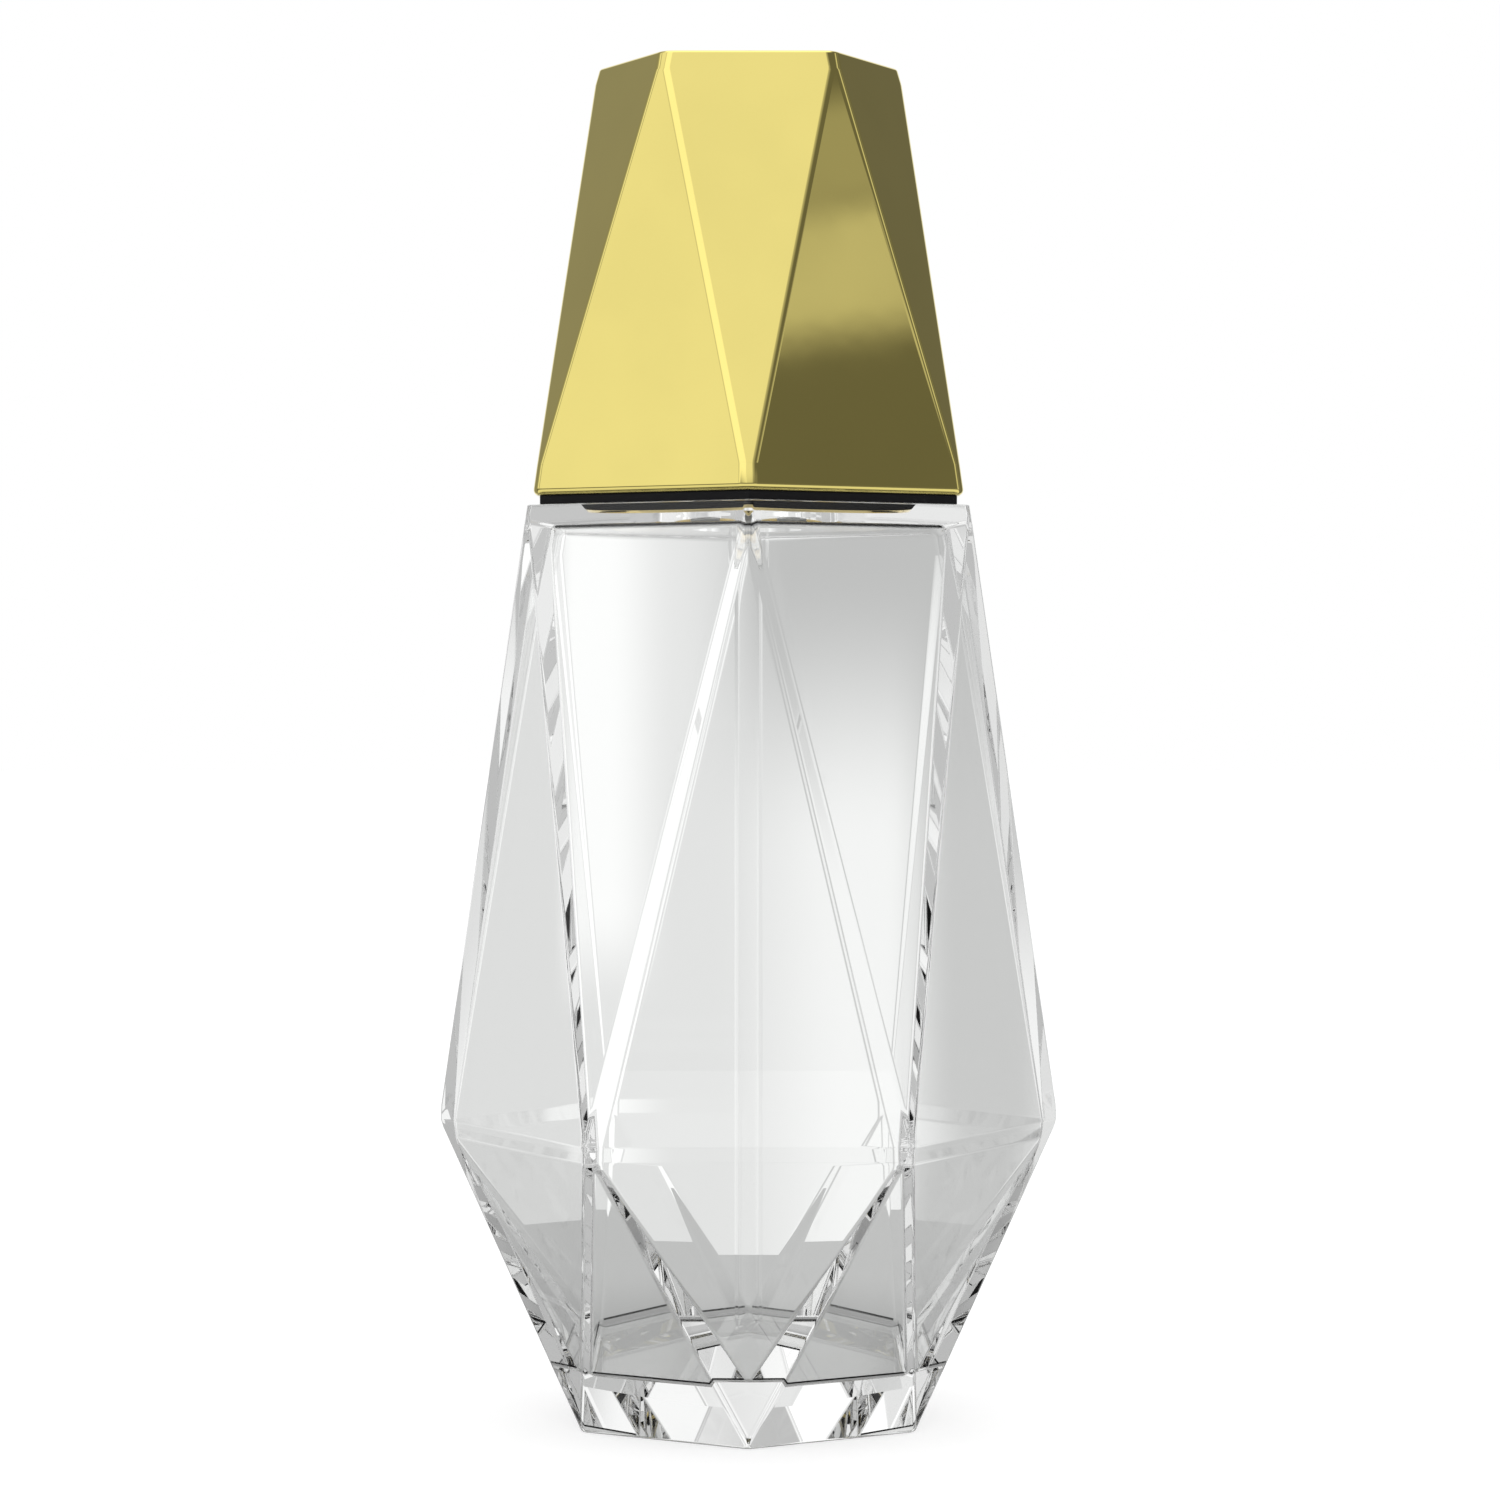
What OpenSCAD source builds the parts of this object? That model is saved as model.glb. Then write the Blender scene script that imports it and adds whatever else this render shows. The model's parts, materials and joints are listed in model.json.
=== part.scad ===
// Faceted glass perfume bottle with a crimped fine-mist pump and a faceted metal-look cap.
// Millimetres, +Z up, origin at the centre of the flat base. The front faces -Y, as the nozzle does.

/* [Bottle] */
// Corner radius of the hexagonal base
base_r = 17.65; // [16:0.05:19]
// Corner radius of the girdle, the widest ring of the glass
girdle_r = 29; // [28:0.1:31]
// Height of the girdle above the base
girdle_z = 27.95; // [24:0.05:32]
// Corner radius of the shoulder
shoulder_r = 23.2; // [22:0.05:24]
// Height of the flat shoulder
shoulder_z = 84.95; // [75:0.05:95]
// Corner radius of the hollow's floor
hollow_floor_r = 15.6; // [15:0.1:16.2]
// Corner radius of the hollow at its widest ring
hollow_girdle_r = 26.5; // [25.8:0.1:26.8]
// Height of the hollow's widest ring
hollow_girdle_z = 26.5; // [26:0.1:27.4]
// Corner radius of the hollow's ceiling
hollow_ceiling_r = 19.9; // [19.4:0.1:20.2]
// Thickness of the glass under the hollow
glass_base = 6.25; // [4.5:0.05:7.5]
// Thickness of the glass shoulder
glass_shoulder = 2; // [1.8:0.1:2.2]

/* [Neck] */
// Height of the neck above the shoulder
neck_h = 13.05; // [12.8:0.05:14]
// Radius of the neck below its bead
neck_r = 6.6; // [6.5:0.05:6.7]
// Radius of the crimp bead, 7.5 for the 15 mm finish
bead_r = 7.5; // [7.4:0.05:7.6]
// Radius of the bore through the neck
bore_r = 4.6; // [4.5:0.05:4.8]

/* [Cap] */
// Corner radius of the cap's lower rim
cap_r = 22.7; // [22:0.05:23.5]
// Air gap between the glass shoulder and the cap
cap_gap = 0.85; // [0.6:0.05:1.2]
// Height of the cap
cap_h = 40.25; // [40:0.05:44]
// Half width of the cap's top between its side corners
cap_top_x = 14.1; // [13.9:0.05:15]
// Half depth of the cap's top
cap_top_y = 12.2; // [12:0.05:13]
// Half length of the top's front and back edges
cap_top_edge = 7.75; // [7:0.05:8.5]
// Wall thickness of the cap's outer shell
cap_wall = 1.8; // [1.5:0.1:2]

/* [Pump] */
// Travel of the spray head when it is pressed
stroke = 4.5; // [3.5:0.1:4.5]
// Radius of the pump's cylinder bore
pump_bore_r = 3.1; // [3:0.05:3.2]
// Outer radius of the stem
stem_r = 1.5; // [1.4:0.05:1.6]
// Radius of the ball in the inlet valve
ball_r = 1; // [0.9:0.05:1]
// Outer radius of the dip tube
dip_tube_r = 1.3; // [1.2:0.05:1.4]
// Space between the dip tube's end and the cavity floor
dip_tube_end_gap = 1.5; // [1:0.1:3]

/* [Spray head and collar] */
// Outer radius of the collar
collar_r = 9.2; // [9.1:0.05:9.3]
// Outer radius of the spray head
head_r = 6.6; // [6.5:0.05:6.7]
// Height of the spray head's shell
head_h = 14.4; // [14:0.1:14.6]
// Running clearance of the sliding and turning fits
running_gap = 0.05; // [0.03:0.01:0.08]

/* [Hidden] */
$fn = 96;

CLEAR_GLASS = [0.88, 0.92, 0.93, 0.35];
CLEAR_PLASTIC = [0.9, 0.93, 0.95, 0.4];
GOLD = [0.86, 0.7, 0.3];
WHITE_PLASTIC = [0.93, 0.93, 0.9];
BLACK_PLASTIC = [0.06, 0.06, 0.06];
STEEL = [0.68, 0.69, 0.71];

// Where a ring's first corner lies: towards the front, or a twelfth of a turn past it.
corner_front = -90;
edge_front = -60;
overlap = 1;        // how far cutting tools run past a face
fit_gap = 0.02;     // between pieces that are pressed or glued together
plate_gap = 0.05;   // between pieces that only lie on each other

// The hollow in the glass
floor_z = glass_base;
ceiling_z = shoulder_z - glass_shoulder;
peak_gap = 0.15;    // by which the planes of the pointed facets clear the ceiling's corners
reach = 150;        // size of the blocks that stand for half spaces

// Conical well round the neck, sunk in the shoulder
well_mouth_r = 13.1;
well_floor_r = 11.9;
well_z = shoulder_z - 1.3;

// Radius of the well's wall at height z.
function well_r(z) = well_floor_r + (well_mouth_r - well_floor_r) * (z - well_z) / (shoulder_z - well_z);

// Neck finish
lip_z = shoulder_z + neck_h;
bead_h = 3.8;
neck_root = 0.8;

// Collar flange and the black ring over it, both in the well
foot_z = well_z + fit_gap;
foot_t = 0.25;
foot_top_z = foot_z + foot_t;
ring_top_z = shoulder_z + 0.65;

// Ferrule, crimped over the bead and the pump's head
sheet = 0.45;
gasket_t = 0.8;
flange_t = 1;
flange_z = lip_z + gasket_t;
ferrule_plate_z = flange_z + flange_t;
head_bore_r = 4.8;          // radius of the pump housing's head
turret_r = head_bore_r + plate_gap;
turret_top_z = lip_z + 6.3;
skirt_r = bead_r + plate_gap;
skirt_bottom_z = lip_z - 4.7;
ferrule_roof_r = 2.75;

// Pump housing, from its tail up
tail_z = shoulder_z - 1.65;
inlet_z = tail_z + 2.3;
inlet_r = ball_r * 0.7;
seat_z = inlet_z + 0.4;
chamber_r = ball_r + 0.5;
ball_rest_z = seat_z - inlet_r + ball_r * sqrt(2) + 0.005;
ball_lift = 0.8;
ledge_z = ball_rest_z + ball_r + ball_lift + 0.05;
spring_seat_z = ledge_z + 0.3;
housing_r = 4.2;
housing_top_z = lip_z + 4.6;
stem_gasket_t = 0.75;
gland_z = housing_top_z + stem_gasket_t + plate_gap;

// Stem and piston at rest
shoulder_top_z = housing_top_z - 0.1;
stem_shoulder_t = 0.7;
stem_shoulder_r = 2.4;
button_z = lip_z - 2.2;
button_t = 0.6;
button_r = 2.2;
spigot_r = 1.6;
spigot_h = 0.9;
rod_r = 1.1;
stem_bore_r = 0.55;
stem_top_z = lip_z + 15.1;
piston_z = button_z + button_t + plate_gap;
piston_h = 3.5;
lip_h = 0.85;
port_z = piston_z + 2.1;

// Springs
return_wire_r = 0.22;
return_coil_r = 1.95;
return_turns = 4.5;
pre_wire_r = 0.17;
pre_coil_r = 1.75;
pre_turns = 3;

// Collar
collar_bottom_z = shoulder_z + 0.4;
collar_top_z = lip_z + 8.6;
collar_roof = 0.7;
collar_wall = 0.4;
collar_mouth_r = head_r + 0.3;

// Spray head
head_z = collar_top_z - 1;
head_top_z = head_z + head_h;
head_wall = 0.4;
head_shoulder = 1.1;        // radius of the round edge on top
head_dish = 0.35;           // depth of the finger dish
shell_bore_r = head_r - head_wall;
shell_ceiling_z = head_top_z - head_wall - head_dish;
core_r = shell_bore_r - plate_gap;
core_top_z = shell_ceiling_z - plate_gap;
core_ceiling_z = gland_z + 1.9 + stroke + 0.4;
socket_top_z = stem_top_z + plate_gap;
nozzle_z = head_z + 9.6;
nozzle_r = 2;
nozzle_depth = 2.5;
post_r = 0.8;
feed_r = 0.4;

// Cap
cap_z = shoulder_z + cap_gap;
cap_top_z = cap_z + cap_h;
cap_roof = 2;
cap_ceiling_z = cap_top_z - cap_roof;
inner_top_scale = (cap_top_y - cap_wall) / cap_top_y;
liner_z = cap_z + 0.5;
liner_flange_t = 1.4;
liner_flange_r = cap_r - 2.8;
liner_wall = 1.15;
liner_bore_r = collar_r + 0.25;
liner_stop_z = collar_top_z + plate_gap;
liner_neck_r = head_r + 1.1;
liner_roof_z = head_top_z + 1.4;
liner_roof_t = 1.2;
seal_z = shoulder_z + 0.1;
seal_r = cap_r - 0.8;
seal_bore_r = well_mouth_r + 0.4;
weight_r = 14.2;
weight_h = 16.7;

// ---- Shapes that several pieces share ----

// Six points on a hexagon of corner radius r at height z, the first at angle a.
function hex_ring(r, z, a) = [for (i = [0:5]) [r * cos(a + 60 * i), r * sin(a + 60 * i), z]];

// The cap's top ring: a hexagon with its front and back edges a little longer than the others.
function cap_top_ring(k, z) = [
    for (p = [[1, -1], [2, 0], [1, 1], [-1, 1], [-2, 0], [-1, -1]])
        [k * (abs(p.x) == 2 ? sign(p.x) * cap_top_x : p.x * cap_top_edge), k * p.y * cap_top_y, z]
];

// Points of a round corner of radius r about [x, z], from angle a to angle b.
function arc(x, z, r, a, b, steps = 6) =
    [for (i = [0:steps]) [x + r * cos(a + (b - a) * i / steps), z + r * sin(a + (b - a) * i / steps)]];

// A closed band of twelve triangles between two rings of six, the upper ring a twelfth of a turn on.
module facet_band(low, high) {
    sides = [for (i = [0:5]) each [[i, 6 + i, (i + 1) % 6], [6 + i, 6 + (i + 1) % 6, (i + 1) % 6]]];
    polyhedron(points = concat(low, high), faces = concat([[0, 1, 2, 3, 4, 5], [11, 10, 9, 8, 7, 6]], sides));
}

// A ring of rectangular section.
module tube(r_out, r_in, z_low, z_high) {
    translate([0, 0, z_low]) difference() {
        cylinder(r = r_out, h = z_high - z_low);
        translate([0, 0, -overlap]) cylinder(r = r_in, h = z_high - z_low + 2 * overlap);
    }
}

// A vertical hole from z_low to z_high.
module hole(r, z_low, z_high) {
    translate([0, 0, z_low]) cylinder(r = r, h = z_high - z_low);
}

// A round wire wound into a helix with its ends at z_low and z_high.
module coil_spring(coil_r, wire_r, z_low, z_high, turns) {
    sides = 8;
    steps = round(turns * 20);
    rise = z_high - z_low - 2 * wire_r;
    points = [
        for (i = [0:steps], j = [0:sides - 1])
            let (a = 360 * turns * i / steps, t = 360 * j / sides, r = coil_r + wire_r * cos(t))
                [r * cos(a), r * sin(a), z_low + wire_r + rise * i / steps + wire_r * sin(t)]
    ];
    walls = [
        for (i = [0:steps - 1], j = [0:sides - 1])
            let (a = i * sides, b = a + sides, k = (j + 1) % sides)
                [a + j, b + j, b + k, a + k]
    ];
    first = [for (j = [0:sides - 1]) j];
    last = [for (j = [sides - 1:-1:0]) steps * sides + j];
    polyhedron(points = points, faces = concat(walls, [first, last]));
}

// ---- Bottle ----

module glass_bottle() {
    girdle = hex_ring(girdle_r, girdle_z, edge_front);
    color(CLEAR_GLASS) difference() {
        union() {
            facet_band(hex_ring(base_r, 0, corner_front), girdle);
            facet_band(girdle, hex_ring(shoulder_r, shoulder_z, corner_front + 60));
            neck_finish();
        }
        hollow();
        well();
        hole(bore_r, ceiling_z - overlap, lip_z + overlap);
    }
}

// The half space behind a facet of the hollow that faces angle a. The facet passes through radius r at the
// hollow's widest ring and radius r_end at height z_end.
module behind_facet(a, r, r_end, z_end) {
    lean = atan((r - r_end) / (z_end - hollow_girdle_z));
    rotate([0, 0, a]) translate([r, 0, hollow_girdle_z]) rotate([0, -lean, 0])
        translate([-reach, -reach, -reach]) cube([reach, 2 * reach, 2 * reach]);
}

// The hollow repeats the outer facets, with thick glass round the floor and thinner walls at the girdle.
module hollow() {
    flat = cos(30);     // a hexagon's middle radius over its corner radius
    intersection() {
        intersection_for (i = [0:5]) rotate([0, 0, 60 * i]) intersection() {
            behind_facet(corner_front, hollow_girdle_r * flat, hollow_floor_r, floor_z);
            behind_facet(edge_front, hollow_girdle_r, hollow_floor_r * flat, floor_z);
            behind_facet(corner_front, hollow_girdle_r * flat, hollow_ceiling_r + peak_gap, ceiling_z);
            behind_facet(edge_front, hollow_girdle_r, hollow_ceiling_r * flat, ceiling_z);
        }
        translate([-reach, -reach, floor_z]) cube([2 * reach, 2 * reach, ceiling_z - floor_z]);
    }
}

// Sunk ring round the neck that takes the collar's flange and the black ring.
module well() {
    inner = neck_r + neck_root + 0.2;
    top = shoulder_z + overlap;
    rotate_extrude() polygon([
        [inner, well_z], [well_floor_r, well_z], [well_mouth_r, shoulder_z],
        [well_mouth_r, top], [inner, top],
    ]);
}

// The neck: a flared root, a plain cylinder and the bead that the ferrule is crimped under.
module neck_finish() {
    root = shoulder_z - glass_shoulder / 2;
    rotate_extrude() polygon(concat(
        [[0, root], [neck_r + neck_root, root], [neck_r + neck_root, shoulder_z]],
        [[neck_r, shoulder_z + neck_root], [neck_r, lip_z - bead_h - 0.3]],
        arc(bead_r - 0.8, lip_z - bead_h + 0.8, 0.8, -60, 0),
        arc(bead_r - 0.7, lip_z - 0.7, 0.7, 0, 90),
        [[0, lip_z]]
    ));
}

// ---- Closure ----

module neck_gasket() {
    color(WHITE_PLASTIC) tube(bead_r - 0.4, housing_r + 0.25, lip_z, flange_z - fit_gap);
}

// Aluminium sheet: skirt, crimped lip, plate, turret wall and turret roof.
module crimp_ferrule() {
    plate_z = ferrule_plate_z + fit_gap;
    color(GOLD) {
        tube(skirt_r + sheet, skirt_r, skirt_bottom_z, plate_z + sheet);
        tube(skirt_r + sheet, neck_r + 0.2, skirt_bottom_z, skirt_bottom_z + sheet);
        tube(skirt_r + sheet, turret_r, plate_z, plate_z + sheet);
        tube(turret_r + sheet, turret_r, plate_z, turret_top_z + sheet);
        tube(turret_r + sheet, ferrule_roof_r, turret_top_z, turret_top_z + sheet);
    }
}

// Metal sleeve with a thin flange that stands on the floor of the well and follows its wall.
module collar() {
    edge = 0.35;
    color(GOLD) rotate_extrude() polygon(concat(
        [[collar_r - collar_wall, foot_z], [well_r(foot_z) - fit_gap, foot_z]],
        [[well_r(foot_top_z) - fit_gap, foot_top_z], [collar_r, foot_top_z]],
        arc(collar_r - edge, collar_top_z - edge, edge, 0, 90),
        arc(collar_mouth_r + edge, collar_top_z - edge, edge, 90, 180),
        [[collar_mouth_r, collar_top_z - collar_roof], [collar_r - collar_wall, collar_top_z - collar_roof]]
    ));
}

// Plastic ring that grips the ferrule and holds the metal collar.
module collar_liner() {
    top = collar_top_z - collar_roof - fit_gap;
    step = ferrule_plate_z + sheet + plate_gap;
    outer = collar_r - collar_wall - fit_gap;
    color(WHITE_PLASTIC) {
        tube(outer, skirt_r + sheet + fit_gap, collar_bottom_z + 0.3, step);
        tube(outer, head_r + 0.5, step, top);
    }
}

// Black ring pressed into the well round the collar, over its flange.
module shoulder_ring() {
    low = foot_top_z + fit_gap;
    mouth_r = well_mouth_r - fit_gap;
    inner = collar_r + fit_gap;
    color(BLACK_PLASTIC) rotate_extrude() polygon([
        [inner, low], [well_r(low) - fit_gap, low],
        [mouth_r, shoulder_z], [mouth_r, ring_top_z], [inner, ring_top_z],
    ]);
}

// ---- Pump ----

// Turned profile: tail socket, conical ball seat, ball chamber, spring seat, cylinder and clamped head.
module pump_housing() {
    tail_r = dip_tube_r + 0.9;
    color(WHITE_PLASTIC) difference() {
        rotate_extrude() polygon([
            [0, tail_z], [tail_r, tail_z], [tail_r, inlet_z + 0.6], [housing_r, spring_seat_z - 1],
            [housing_r, flange_z], [bead_r - 0.9, flange_z], [bead_r - 0.9, ferrule_plate_z],
            [head_bore_r, ferrule_plate_z], [head_bore_r, housing_top_z], [0, housing_top_z]
        ]);
        hole(dip_tube_r + fit_gap, tail_z - overlap, inlet_z);
        hole(inlet_r, inlet_z - overlap, seat_z + overlap);
        translate([0, 0, seat_z]) cylinder(r1 = inlet_r, r2 = chamber_r, h = chamber_r - inlet_r);
        hole(chamber_r, seat_z + chamber_r - inlet_r, ledge_z);
        hole(ball_r * 0.75, ledge_z - overlap, spring_seat_z + overlap);
        hole(pump_bore_r, spring_seat_z, housing_top_z + overlap);
    }
}

module stem_gasket() {
    color(BLACK_PLASTIC)
        tube(head_bore_r - plate_gap, stem_r + 0.03, housing_top_z, housing_top_z + stem_gasket_t);
}

// The guide that the stem slides through, held under the ferrule's roof.
module stem_gland() {
    guide_r = stem_r + running_gap;
    color(WHITE_PLASTIC) {
        tube(head_bore_r - plate_gap, guide_r, gland_z, turret_top_z - plate_gap);
        tube(ferrule_roof_r - 0.15, guide_r, gland_z, gland_z + 1.9);
    }
}

module check_ball() {
    color(STEEL) translate([0, 0, ball_rest_z]) sphere(r = ball_r, $fn = 48);
}

module return_spring() {
    color(STEEL) coil_spring(
        return_coil_r, return_wire_r, spring_seat_z + fit_gap, button_z - fit_gap, return_turns
    );
}

// Thin-walled tube, cut across at an angle so that its end can't seal against the glass.
module dip_tube() {
    bottom = floor_z + dip_tube_end_gap;
    color(CLEAR_PLASTIC) difference() {
        tube(dip_tube_r, dip_tube_r - 0.35, bottom, inlet_z - plate_gap);
        translate([0, 0, bottom]) rotate([0, -35, 0]) translate([0, -2 * dip_tube_r, -4 * dip_tube_r])
            cube([4 * dip_tube_r, 4 * dip_tube_r, 4 * dip_tube_r]);
    }
}

// Spring spigot, valve button, rod, shoulder and tube, with a side port into the bore.
module stem() {
    color(WHITE_PLASTIC) difference() {
        union() {
            hole(spigot_r, button_z - spigot_h, button_z + overlap / 4);
            hole(button_r, button_z, button_z + button_t);
            hole(rod_r, button_z, shoulder_top_z);
            hole(stem_shoulder_r, shoulder_top_z - stem_shoulder_t, shoulder_top_z);
            hole(stem_r, shoulder_top_z - stem_shoulder_t, stem_top_z);
        }
        hole(stem_bore_r, port_z - stem_bore_r, stem_top_z + overlap);
        translate([0, 0, port_z]) rotate([90, 0, 0]) cylinder(r = 0.3, h = 3 * rod_r, center = true);
    }
}

// Piston with a sealing lip at each end of its waist; it slides on the stem's rod.
module piston() {
    lip_r = pump_bore_r - running_gap;
    top = piston_z + piston_h;
    color(BLACK_PLASTIC) rotate_extrude() polygon([
        [rod_r + running_gap, piston_z], [lip_r - 0.3, piston_z], [lip_r, piston_z + 0.2],
        [lip_r, piston_z + lip_h], [lip_r - 0.45, piston_z + lip_h + 0.3],
        [lip_r - 0.45, top - lip_h - 0.3], [lip_r, top - lip_h], [lip_r, top - 0.2],
        [lip_r - 0.3, top], [rod_r + running_gap, top]
    ]);
}

module precompression_spring() {
    color(STEEL) coil_spring(
        pre_coil_r, pre_wire_r, piston_z + piston_h + fit_gap,
        shoulder_top_z - stem_shoulder_t - fit_gap, pre_turns
    );
}

// ---- Spray head ----

// Lies along -Y at the nozzle's height, from y_near out to y_far.
module nozzle_bar(r, y_near, y_far, dz = 0) {
    translate([0, -y_near, nozzle_z + dz]) rotate([90, 0, 0]) cylinder(r = r, h = y_far - y_near);
}

module actuator_core() {
    recess = head_r - nozzle_depth - 0.15;
    color(WHITE_PLASTIC) {
        difference() {
            union() {
                hole(core_r, head_z + 0.3, core_top_z - head_shoulder);
                translate([0, 0, core_top_z - head_shoulder])
                    cylinder(r1 = core_r, r2 = core_r - head_shoulder, h = head_shoulder);
            }
            hole(turret_r + sheet + 0.4, head_z - overlap, core_ceiling_z);
            hole(stem_r + running_gap, core_ceiling_z - overlap, socket_top_z);
            hole(feed_r, socket_top_z - overlap, nozzle_z + 1);
            nozzle_bar(feed_r, 0, recess + overlap, dz = 1);
            nozzle_bar(nozzle_r + fit_gap, recess, head_r);
        }
        nozzle_bar(post_r, recess - overlap / 2, head_r - 1);
    }
}

// Drawn metal sleeve with a round shoulder and a shallow finger dish.
module actuator_shell() {
    flat_r = head_r - head_shoulder;
    color(GOLD) difference() {
        rotate_extrude() polygon(concat(
            [[0, head_z], [head_r, head_z]],
            arc(flat_r, head_top_z - head_shoulder, head_shoulder, 0, 90),
            [for (i = [4:-1:0]) let (k = i / 5) [k * flat_r, head_top_z - head_dish * (1 - k * k)]]
        ));
        hole(shell_bore_r, head_z - overlap, shell_ceiling_z - head_shoulder);
        translate([0, 0, shell_ceiling_z - head_shoulder])
            cylinder(r1 = shell_bore_r, r2 = shell_bore_r - head_shoulder, h = head_shoulder);
        nozzle_bar(nozzle_r + 0.15, head_r / 2, head_r + overlap);
    }
}

// Cup with the spray orifice in its face.
module nozzle_insert() {
    back = head_r - nozzle_depth - 0.1;
    face = head_r - 0.15;
    color(BLACK_PLASTIC) difference() {
        nozzle_bar(nozzle_r, back, face);
        nozzle_bar(post_r + 0.4, back - overlap, face - 0.7);
        nozzle_bar(0.2, back, face + overlap);
        translate([0, -face - fit_gap, nozzle_z]) rotate([-90, 0, 0]) cylinder(r1 = 0.9, r2 = 0.2, h = 0.4);
    }
}

// ---- Cap ----

module cap_shell() {
    color(GOLD) difference() {
        facet_band(hex_ring(cap_r, cap_z, corner_front), cap_top_ring(1, cap_top_z));
        facet_band(
            hex_ring(cap_r - cap_wall / cos(30), cap_z - fit_gap, corner_front),
            cap_top_ring(inner_top_scale, cap_ceiling_z)
        );
    }
}

// Moulded sleeve: flange across the mouth, ribbed bore over the collar, narrow upper part over the head.
module cap_liner() {
    rib_count = 6;
    rib_w = 0.8;
    rib_r = collar_r + running_gap;
    tube_r = liner_bore_r + liner_wall;
    neck_tube_r = liner_neck_r + liner_wall;
    color(BLACK_PLASTIC) {
        difference() {
            rotate([0, 0, corner_front]) hex_plate(liner_flange_r, liner_z, liner_flange_t);
            hole(liner_bore_r, liner_z - overlap, liner_z + liner_flange_t + overlap);
        }
        tube(tube_r, liner_bore_r, liner_z, liner_stop_z + liner_wall);
        tube(tube_r, liner_neck_r, liner_stop_z, liner_stop_z + liner_wall);
        tube(neck_tube_r, liner_neck_r, liner_stop_z, liner_roof_z + liner_roof_t);
        hole(neck_tube_r, liner_roof_z, liner_roof_z + liner_roof_t);
        hole(neck_tube_r / 2, liner_roof_z, cap_ceiling_z - plate_gap);
        for (i = [0:rib_count - 1]) rotate([0, 0, 360 * i / rib_count])
            translate([rib_r, -rib_w / 2, liner_z + 1])
                cube([liner_bore_r - rib_r + liner_wall / 2, rib_w, liner_stop_z - liner_z - 1]);
    }
}

module hex_plate(r, z, t) {
    translate([0, 0, z]) cylinder(r = r, h = t, $fn = 6);
}

// Black seal under the rim, which nearly closes the gap to the glass and clears the black ring.
module cap_seal() {
    color(BLACK_PLASTIC) difference() {
        rotate([0, 0, corner_front]) hex_plate(seal_r, seal_z, cap_z - fit_gap - seal_z);
        hole(seal_bore_r, seal_z - overlap, cap_z + overlap);
    }
}

// Steel ring that gives the cap its heft, between the liner and the shell.
module cap_weight() {
    low = liner_z + liner_flange_t + plate_gap;
    color(STEEL) tube(weight_r, liner_bore_r + liner_wall + plate_gap, low, low + weight_h);
}

glass_bottle();
neck_gasket();
pump_housing();
stem_gland();
stem_gasket();
crimp_ferrule();
collar();
collar_liner();
shoulder_ring();
return_spring();
dip_tube();
check_ball();
stem();
precompression_spring();
piston();
actuator_core();
actuator_shell();
nozzle_insert();
cap_shell();
cap_seal();
cap_liner();
cap_weight();
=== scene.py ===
"""Faceted glass perfume bottle with a mirror-gold cap, on a pale floor in soft studio light."""
import itertools
import json
import math

import bmesh
import bpy
from mathutils import Matrix, Vector


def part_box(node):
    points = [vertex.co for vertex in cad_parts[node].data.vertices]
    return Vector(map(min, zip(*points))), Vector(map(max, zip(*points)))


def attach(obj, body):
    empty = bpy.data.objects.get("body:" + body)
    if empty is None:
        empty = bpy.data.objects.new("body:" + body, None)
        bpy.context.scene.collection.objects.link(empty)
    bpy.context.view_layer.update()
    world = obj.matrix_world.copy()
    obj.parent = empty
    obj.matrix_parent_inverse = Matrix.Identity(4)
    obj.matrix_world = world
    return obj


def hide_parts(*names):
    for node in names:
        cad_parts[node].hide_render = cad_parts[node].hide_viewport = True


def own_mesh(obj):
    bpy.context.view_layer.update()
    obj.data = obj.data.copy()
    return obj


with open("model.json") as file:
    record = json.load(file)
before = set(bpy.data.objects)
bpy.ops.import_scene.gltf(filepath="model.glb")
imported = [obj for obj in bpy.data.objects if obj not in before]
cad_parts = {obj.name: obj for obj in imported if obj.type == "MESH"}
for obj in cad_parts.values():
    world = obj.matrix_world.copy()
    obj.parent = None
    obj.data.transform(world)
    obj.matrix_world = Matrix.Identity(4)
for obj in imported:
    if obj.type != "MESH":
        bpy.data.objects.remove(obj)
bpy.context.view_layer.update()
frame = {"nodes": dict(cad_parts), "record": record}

MM = 0.001
NODES = frame["nodes"]

# ---------------------------------------------------------------- camera

CAMERA_DISTANCE = 0.3974      # from the bottle's axis
EYE_HEIGHT = 0.0686
AIM_HEIGHT = 0.0625
CAMERA_X = 0.00014
LENS = 101.9                  # on a 36 mm sensor


def make_camera():
    data = bpy.data.cameras.new("camera")
    data.lens = LENS
    data.sensor_width = 36.0
    data.clip_start, data.clip_end = 0.01, 20.0
    cam = bpy.data.objects.new("camera", data)
    bpy.context.scene.collection.objects.link(cam)
    cam.location = (CAMERA_X, -CAMERA_DISTANCE, EYE_HEIGHT)
    aim = Vector((CAMERA_X, 0.0, AIM_HEIGHT)) - cam.location
    cam.rotation_mode = "QUATERNION"
    cam.rotation_quaternion = aim.to_track_quat("-Z", "Y")
    bpy.context.scene.camera = cam


# ---------------------------------------------------------------- node helpers


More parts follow.
